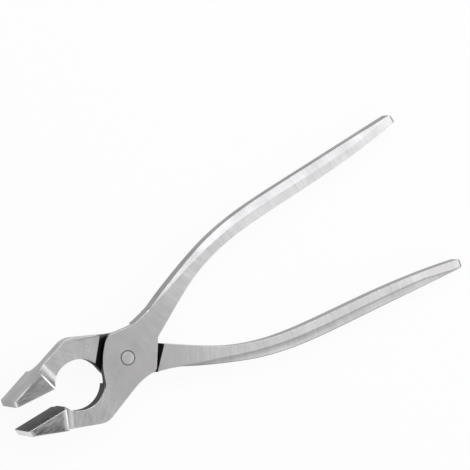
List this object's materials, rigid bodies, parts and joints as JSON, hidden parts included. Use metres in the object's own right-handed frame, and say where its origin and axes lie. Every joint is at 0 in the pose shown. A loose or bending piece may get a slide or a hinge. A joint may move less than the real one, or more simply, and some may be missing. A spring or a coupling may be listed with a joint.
{
  "type": "leather flattening pliers",
  "caption": "Flattening pliers for leather: wide flat jaws that thin to their tips, a round throat, a riveted half-lap joint and long bowed handles with bevelled outer edges.",
  "frame": {"origin": "on the rivet's axis, at the joint's back face", "axes": "+X from the jaws to the handles along the pliers' middle line, +Y towards the front lever's handle, +Z along the rivet's axis, from the rear lever's lap to the front lever's lap"},
  "size_m": [0.1987, 0.0708, 0.02],
  "materials": {
    "lever_steel": "satin, ground across the arms and handles, with brighter broken edges",
    "rivet_steel": "satin, peened and ground flush"
  },
  "bodies": {
    "front": {"front_lever": "lever_steel", "pivot_rivet": "rivet_steel"},
    "rear": {"rear_lever": "lever_steel"}
  },
  "joints": [
    {"name": "pivot_hinge", "type": "hinge", "parent": "front", "child": "rear", "pos_m": [0, 0, 0.0035], "axis": [0, 0, 1], "range_deg": [-58, 11.5]}
  ]
}
